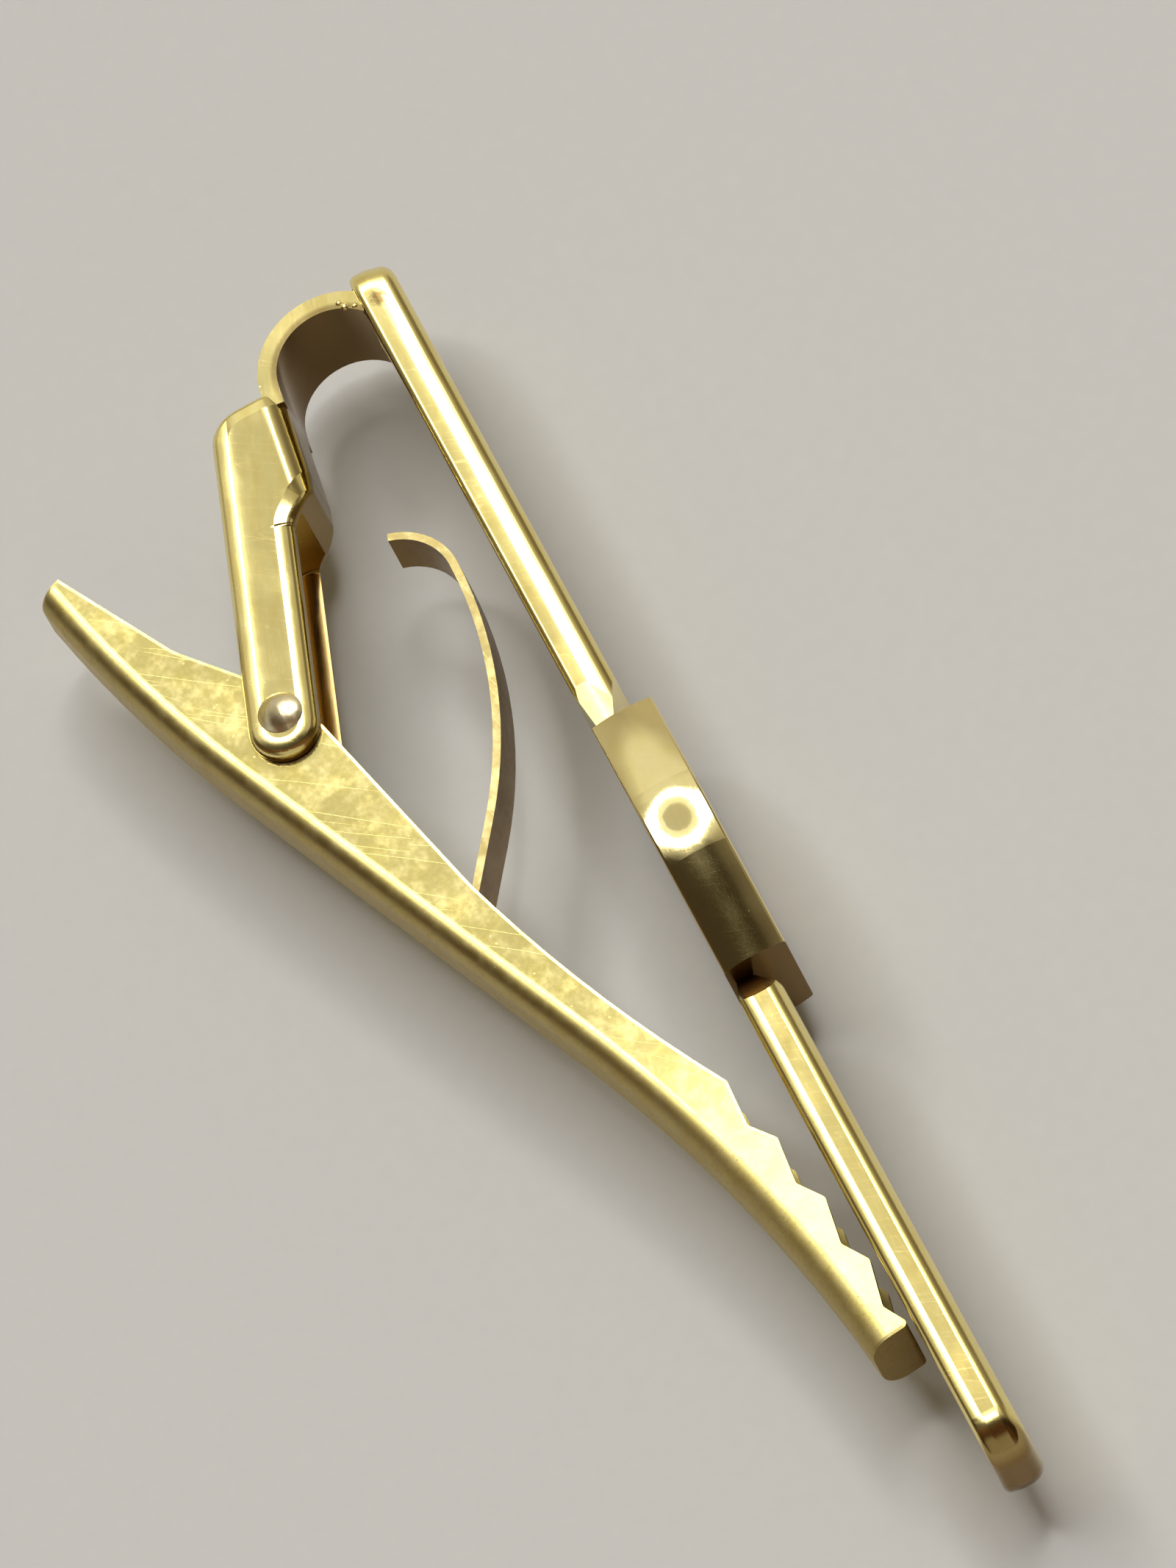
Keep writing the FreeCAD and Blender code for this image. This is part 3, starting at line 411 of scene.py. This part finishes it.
dress("hinge_bracket", polished_gold("bracket_gold", BRACKET_TONE, BRACKET_DEEP, DOWN_THE_EARS,
                                     haze_size=2.2, gloss=0.12, dull=0.06, marks=1.0,
                                     wear=bracket_wear))


# ---- Strap solder ----------------------------------------------------------------------------
# Gold solder run into both corners where the strap's foot meets the bar's back, by hand, so its
# width wanders. A few beads of it are left on the strap's upper edge.

FOOT_TOP, FOOT_BOTTOM = 6.16, 2.04
SOLDER_SLICES, FILLET_STEPS = 22, 4
SLICE_CORNERS = FILLET_STEPS + 2
SUNK, ROOT_DEPTH = 0.04, 0.16
SOLDER_CORNERS = [  # where it is, the way along the bar, the way down the strap, the usual width
    ((-29.95, BAR_BACK), (-1.0, 0.0), (-0.596, -0.803), 0.34),
    ((-28.84, BAR_BACK), (1.0, 0.0), (-0.787, -0.616), 0.24)]
BAR_WAVES = [(0.22, 2.3, 0.0), (0.13, 5.7, 1.0)]  # each wave's swing, pace and start
STRAP_WAVES = [(0.20, 1.9, 2.0), (0.12, 6.3, 0.0)]
SOLDER_BEADS = [((-29.48, 6.61, 6.24), 0.17), ((-29.77, 6.46, 6.22), 0.14),
                ((-29.30, 6.98, 6.20), 0.15)]
BEAD_RINGS, BEAD_SIDES, BEAD_SQUASH = 7, 12, 0.7
points, faces = [], []


def wander(z, waves):
    """How a width that is run by hand wanders about 1 at this height."""
    return 1.0 + sum(swing * math.sin(pace * z + start) for swing, pace, start in waves)


for corner, along_bar, down_strap, width in SOLDER_CORNERS:
    first = len(points)
    into_metal = [-(bar + strap) for bar, strap in zip(along_bar, down_strap)]
    for slice_number in range(SOLDER_SLICES + 1):
        z = FOOT_BOTTOM + (FOOT_TOP - FOOT_BOTTOM) * slice_number / SOLDER_SLICES
        reach, drop = width * wander(z, BAR_WAVES), width * wander(z, STRAP_WAVES)
        for step in range(FILLET_STEPS + 1):
            t = step / FILLET_STEPS
            on_bar, on_strap = (1.0 - t) ** 2 * reach, t ** 2 * drop
            points.append((*(c + on_bar * bar + on_strap * strap + SUNK * into
                             for c, bar, strap, into
                             in zip(corner, along_bar, down_strap, into_metal)), z))
        points.append((*(c + ROOT_DEPTH * into for c, into in zip(corner, into_metal)), z))
    for slice_number in range(SOLDER_SLICES):
        row = first + SLICE_CORNERS * slice_number
        above = row + SLICE_CORNERS
        for k in range(SLICE_CORNERS):
            after = (k + 1) % SLICE_CORNERS
            faces.append((row + k, row + after, above + after, above + k))
    faces.append(tuple(range(first, first + SLICE_CORNERS)))
    faces.append(tuple(range(len(points) - SLICE_CORNERS, len(points))))
for (x, y, z), radius in SOLDER_BEADS:
    first = len(points)
    points.append((x, y, z + BEAD_SQUASH * radius))
    for ring_number in range(1, BEAD_RINGS):
        down = math.pi * ring_number / BEAD_RINGS
        for side in range(BEAD_SIDES):
            turn = 2.0 * math.pi * side / BEAD_SIDES
            points.append((x + radius * math.sin(down) * math.cos(turn),
                           y + radius * math.sin(down) * math.sin(turn),
                           z + BEAD_SQUASH * radius * math.cos(down)))
    last = len(points)
    points.append((x, y, z - BEAD_SQUASH * radius))
    for side in range(BEAD_SIDES):
        after = (side + 1) % BEAD_SIDES
        faces.append((first, first + 1 + side, first + 1 + after))
        for ring_number in range(BEAD_RINGS - 2):
            row = first + 1 + BEAD_SIDES * ring_number
            below = row + BEAD_SIDES
            faces.append((row + side, below + side, below + after, row + after))
        faces.append((last, last - BEAD_SIDES + after, last - BEAD_SIDES + side))
solder_mesh = bpy.data.meshes.new("strap_solder")
solder_mesh.from_pydata([tuple(c / MILLIMETRES for c in point) for point in points], [], faces)
shell = bmesh.new()
shell.from_mesh(solder_mesh)
bmesh.ops.recalc_face_normals(shell, faces=shell.faces)
shell.to_mesh(solder_mesh)
shell.free()
solder_mesh.shade_smooth()
solder = bpy.data.objects.new("strap_solder", solder_mesh)
bpy.context.collection.objects.link(solder)

LUMPY, LUMP_BROWNED, LUMP_DULL, LUMP_RISE = (0.45, 0.7), 0.5, 0.1, 0.06


def solder_wear(place, facing):
    """Small lumps all over, browner where they stand up."""
    lumps = place.cloud(size=0.25, detail=2.0)
    return lumps.between(*LUMPY) * LUMP_BROWNED, lumps * LUMP_DULL, lumps * LUMP_RISE


solder_mesh.materials.append(polished_gold("solder_gold", BRACKET_TONE, BRACKET_DEEP, ALONG_BAR,
                                           haze_size=0.6, gloss=0.16, dull=0.1, marks=0.5,
                                           wear=solder_wear))
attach(solder, "bar")


# ---- Gripper jaw -----------------------------------------------------------------------------
# A channel folded from thin sheet brass, with a thumb tail, two cheeks for the rivet and two rows
# of teeth. Its sides are only tumbled, so they are satin, clouded and pitted. The sides spread a
# little at the mouth, and the outside of the folds and the end carry painted shade.

JAW_TONE, JAW_CLOUD, PALE_GOLD = (0.93, 0.81, 0.31), (0.86, 0.72, 0.20), (0.96, 0.91, 0.60)
ALONG_JAW = 21.62
# How much each mark of the tumbled plate shows: as a tint, as roughness, as a depth in millimetres
TICK_TURN, GRAIN_PACE = 28.0, 0.12
CLOUDED, PALED, MOTTLED, TUMBLED_CORNER = (0.35, 0.7), (0.38, 0.72), (0.45, 0.75), (0.5, 0.12)
DULL_PATCH, DULL_CLOUD, DULL_MOTTLE = (0.35, 0.7), (0.4, 0.8), (0.4, 0.7)
CLOUD_TINT, PALE_TINT, TICK_TINT, DOT_TINT, MOTTLE_TINT = 0.55, 0.25, 0.25, 0.45, 0.17
CORNER_TINT = 0.7
BLEND_DULL, PALE_DULL, DOT_DULL, CORNER_DULL = 0.04, 0.05, 0.2, 0.25
SPECK_RISE, GRAIN_RISE, CLOUD_RISE, MOTTLE_RISE = 0.0008, 0.001, 0.0005, 0.0011
TICK_DEPTH, DOT_DEPTH = 0.0007, 0.0035


def tumbled_gold(name, tone, cloud_tone, lengthwise, gloss, wear):
    """Gold plate on tumbled sheet: clouds, grain of the roll, ticks, pits, darker closed-in corners
    and painted shade in hollows.

    wear(place, facing) gives the same three values as for buffed plate."""
    material, start, place, facing = new_finish(name)
    stain_and_shade_share, softer, swell = wear(place, facing)
    clouds = place.cloud(size=1.1, detail=5.0)
    mottle = place.cloud(size=0.2, detail=5.0)
    pale = place.cloud(size=0.55, detail=4.0).between(*PALED)
    patches = place.cloud(size=3.4, detail=2.0)
    speck = place.cloud(size=0.07, detail=2.0)
    grain = place.stretch(GRAIN_PACE, lengthwise).cloud(size=0.10, detail=2.0)
    ticks = hair_lines(place, lengthwise + TICK_TURN, spacing=0.7, thin=0.003)
    dots = pits(place, pitch=0.42, radius=0.045, share=0.22)
    # Darker and duller in corners by how closed in they are
    closed_in = start.hollow(reach=0.6).between(*TUMBLED_CORNER)
    fine = start.mix(clouds.between(*CLOUDED) * CLOUD_TINT, tone, cloud_tone)
    paled = start.mix(pale * PALE_TINT, fine, PALE_GOLD)
    marks = ticks * TICK_TINT + dots * DOT_TINT + mottle.between(*MOTTLED) * MOTTLE_TINT
    colour = stained_and_shaded(start, start.mix(marks, paled, PIT_BROWN), stain_and_shade_share, closed_in, CORNER_TINT)
    blend = (patches.between(*DULL_PATCH) + clouds.between(*DULL_CLOUD)
             + mottle.between(*DULL_MOTTLE))
    roughness = (gloss + blend * BLEND_DULL + pale * PALE_DULL + dots * DOT_DULL
                 + closed_in * CORNER_DULL + softer)
    height = (swell + speck * SPECK_RISE + grain * GRAIN_RISE + clouds * CLOUD_RISE
              + mottle * MOTTLE_RISE - ticks * TICK_DEPTH - dots * DOT_DEPTH)
    return metal(material, start, colour, roughness, height)


UNDERSIDE = (0.28, -0.96, 0.0)
FOLD, BEND, JAW_END, MOUTH = (0.12, 0.75), (0.02, 0.22), (0.45, 0.8), (0.0, 19.0)
MOUTH_FLOOR, MOUTH_SPREAD = -1.0, 0.135
FOLD_SHADE, JAW_END_SHADE = 0.6, 0.8
MOUTH_DULL, BEND_DULL = 0.15, 0.2


def jaw_wear(place, facing):
    """Painted shade on folds and end, softer bends, and sides that lean out more and more at the
    mouth.
    """
    fold = facing.along(UNDERSIDE).between(*FOLD)
    bend = facing.along(UNDERSIDE).between(*BEND)
    end = facing.along(TO_TIP).between(*JAW_END)
    mouth = place.along(TO_TIP).between(*MOUTH)
    above_floor = MOUTH_FLOOR - place.along(UNDERSIDE)
    # Painted shade on the folds where they turn to the underside, and on the end
    return (fold * FOLD_SHADE + end * JAW_END_SHADE, mouth * MOUTH_DULL + bend * BEND_DULL,
            mouth * above_floor * MOUTH_SPREAD)


jaw_finish = tumbled_gold("jaw_gold", JAW_TONE, JAW_CLOUD, ALONG_JAW, gloss=0.15, wear=jaw_wear)
dress("gripper_jaw", jaw_finish)


# ---- Leaf spring -----------------------------------------------------------------------------
# A bowed leaf of rolled spring brass, bent at its foot and curled at its free end. It is plated
# straight over the rolled strip, so it is duller than the rest; its faces carry painted shade, and
# only its cut edges are bright.

LEAF_TONE, LEAF_CLOUD = (0.82, 0.68, 0.28), (0.60, 0.46, 0.16)
ALONG_LEAF = -16.0
LEAF_FACE, LEAF_HOLLOW = (0.8, 0.3), (-0.3, 0.2)
LEAF_HOLLOW_SHADE, LEAF_FACE_SHADE = 0.65, 0.25
LEAF_DULL, LEAF_WAVE = 0.08, 0.01


def leaf_wear(place, facing):
    """Painted shade on the faces, more on the hollow side; dull faces with a slight wave."""
    face = abs(facing.along(UP)).between(*LEAF_FACE)
    hollow_side = facing.along(TO_TIP).between(*LEAF_HOLLOW)
    # Painted shade on the faces, more on the hollow side
    return (face * (hollow_side * LEAF_HOLLOW_SHADE + LEAF_FACE_SHADE), face * LEAF_DULL,
            place.cloud(size=0.6, detail=1.0) * LEAF_WAVE)


dress("leaf_spring", tumbled_gold("leaf_gold", LEAF_TONE, LEAF_CLOUD, ALONG_LEAF, gloss=0.2,
                                  wear=leaf_wear))


# ---- Spring rivet ----------------------------------------------------------------------------
# A small brass rivet that holds the leaf's foot to the channel's floor, closed with a punch. Its
# head is dressed flat on the outside and plated and tumbled with the jaw.

dress("spring_rivet", jaw_finish)


# ---- Pivot rivet -----------------------------------------------------------------------------
# The brass rivet through both ears and the jaw's cheeks. Its domed heads are set with a cupped
# punch, a little askew, so they are bright with small dents.

RIVET_TONE, RIVET_DEEP = (0.96, 0.87, 0.58), (0.90, 0.78, 0.45)
HEAD_LEAN = (0.16, 0.38, 0.0)
DENTED, DENT_BROWNED, DENT_DULL, DENT_RISE = (0.6, 0.8), 0.12, 0.06, 0.03


def rivet_wear(place, facing):
    """Small dents, on a head that leans."""
    dents = place.cloud(size=0.5, detail=1.0)
    return (dents.between(*DENTED) * DENT_BROWNED, dents * DENT_DULL,
            dents * DENT_RISE + place.along(HEAD_LEAN))


dress("pivot_rivet", polished_gold("rivet_gold", RIVET_TONE, RIVET_DEEP, ALONG_BAR, haze_size=0.8,
                                   gloss=0.25, dull=0.05, marks=0.6, wear=rivet_wear))


# ---- Floor -----------------------------------------------------------------------------------
# A wide sheet of plain pale card under the clip, with a faint fibre. The clip lies on it on its
# side and touches it with the lower crest of its centre.

FLOOR_REACH = 12.0
FLOOR_TONE, FLOOR_SHADE = (0.62, 0.622, 0.62), (0.59, 0.592, 0.59)
FLOOR_ROUGH, FLOOR_SHINE = 0.9, 0.1
floor_mesh = bpy.data.meshes.new("floor")
floor_mesh.from_pydata([(-FLOOR_REACH, -FLOOR_REACH, 0.0), (FLOOR_REACH, -FLOOR_REACH, 0.0),
                        (FLOOR_REACH, FLOOR_REACH, 0.0), (-FLOOR_REACH, FLOOR_REACH, 0.0)],
                       [], [(0, 1, 2, 3)])
floor = bpy.data.objects.new("floor", floor_mesh)
bpy.context.collection.objects.link(floor)
card, start, place, _ = new_finish("pale_card")
fibre = place.cloud(size=0.8, detail=4.0)
board = start.node("ShaderNodeBsdfPrincipled", {}, {
    "Base Color": start.mix(fibre, FLOOR_TONE, FLOOR_SHADE), "Roughness": FLOOR_ROUGH,
    "Specular IOR Level": FLOOR_SHINE})
start.node("ShaderNodeOutputMaterial", {}, {"Surface": board})
floor_mesh.materials.append(card)


# ---- Light -----------------------------------------------------------------------------------
# A big round studio lamp with a dimmer middle, above the hinge side, in a soft glow that is wider
# on that side. The room is fairly light there and at the far wall beyond the tip, and dark past the
# top and low down at the front and the back.

LAMP_AIM = (-0.488, 0.0, 0.873)
# Degrees off the lamp's axis
LAMP_CENTRE, LAMP_INNER, LAMP_OUTER, LAMP_GLOW = 10.5, 17.2, 23.8, 31.0
RING_SOFT, CENTRE_SOFT, WIDER_GLOW, COVERED = 0.5, 1.4, 9.0, (22.8, 21.8)
LAMP_LIGHT, COVER_LIGHT = 9.6, 1.15
CENTRE_TONE, COVER_TONE, RING_TONE = (0.60, 0.57, 0.50), (1.0, 0.97, 0.88), (1.0, 0.98, 0.94)
GLOW_TONE, GLOW_SHARE, WIDER_SIDE = (0.90, 0.87, 0.77), 0.85, (-0.62, -0.80)
LOW_TONE, LOW_SHARE = (0.07, 0.04, 0.018), 0.75
LOW_FROM_TOP, LOW_FROM_END = (0.5, 0.8), (0.97, 0.86)
FRONT_PULL = 0.4
ROOM_TONES = [  # from the hinge side, past the top, to the far wall beyond the tip
    (0.0, (0.52, 0.46, 0.36)), (0.035, (0.42, 0.37, 0.28)), (0.10, (0.52, 0.47, 0.38)),
    (0.37, (0.48, 0.44, 0.36)), (0.415, (0.17, 0.145, 0.11)), (0.46, (0.045, 0.034, 0.024)),
    (0.58, (0.05, 0.036, 0.024)), (0.68, (0.14, 0.07, 0.035)), (0.83, (0.15, 0.08, 0.045)),
    (0.90, (0.46, 0.42, 0.35)), (1.0, (0.50, 0.46, 0.39))]
world = bpy.data.worlds.new("studio")
world.use_nodes = True
world.node_tree.nodes.clear()
bpy.context.scene.world = world
sky = Shade(world.node_tree)
aim = sky.node("ShaderNodeTexCoord", out="Generated")
facing_lamp = aim.along(LAMP_AIM)
off_axis = facing_lamp.maths("ARCCOSINE", facing_lamp) * math.degrees(1.0)
ring = (off_axis.between(LAMP_INNER - RING_SOFT, LAMP_INNER + RING_SOFT)
        * off_axis.between(LAMP_OUTER + RING_SOFT, LAMP_OUTER - RING_SOFT))
cover = off_axis.between(LAMP_CENTRE, LAMP_CENTRE + CENTRE_SOFT)
middle = sky.mix(cover, CENTRE_TONE, COVER_TONE)
to_front = aim.along(TO_FRONT)
past_top = aim.along(TO_TIP) - to_front * FRONT_PULL
# past_top goes from -1 to 1, and the ramp of tones from 0 to 1
room = sky.node("ShaderNodeValToRGB", {"stops": ROOM_TONES}, {"Fac": past_top * 0.5 + 0.5})
low_sides = abs(to_front).between(*LOW_FROM_TOP) * abs(to_front).between(*LOW_FROM_END)
dim_room = sky.mix(low_sides * LOW_SHARE, room, LOW_TONE)
wider = past_top.between(*WIDER_SIDE) * WIDER_GLOW
glow = (off_axis - wider).between(LAMP_GLOW, LAMP_OUTER)
glowing = sky.mix(glow * GLOW_SHARE, dim_room, GLOW_TONE)
covered = off_axis.between(*COVERED)
lit = sky.mix(ring, sky.mix(covered, glowing, middle), RING_TONE)
strength = 1.0 + cover * covered * (COVER_LIGHT - 1.0) + ring * (LAMP_LIGHT - COVER_LIGHT)
sky.node("ShaderNodeOutputWorld", {}, {
    "Surface": sky.node("ShaderNodeBackground", {}, {"Color": lit, "Strength": strength})})


# ---- Camera ----------------------------------------------------------------------------------
# Where the photograph was taken from: far off on the tip side, looking down past the bar's edge
# with a long lens. The frame is upright.

CAMERA_PLACE = (0.311762, 0.006931, 0.516828)
CAMERA_TURN = (28.50117, 14.60342, 65.24928)
CAMERA_LENS, FRAME_HEIGHT = 349.876, 36.0
lens = bpy.data.cameras.new("camera")
lens.sensor_fit = "VERTICAL"
lens.sensor_height = FRAME_HEIGHT
lens.lens = CAMERA_LENS
camera = bpy.data.objects.new("camera", lens)
camera.location = CAMERA_PLACE
camera.rotation_euler = [math.radians(turn) for turn in CAMERA_TURN]
bpy.context.collection.objects.link(camera)
scene = bpy.context.scene
scene.camera = camera
scene.view_settings.view_transform = "Standard"
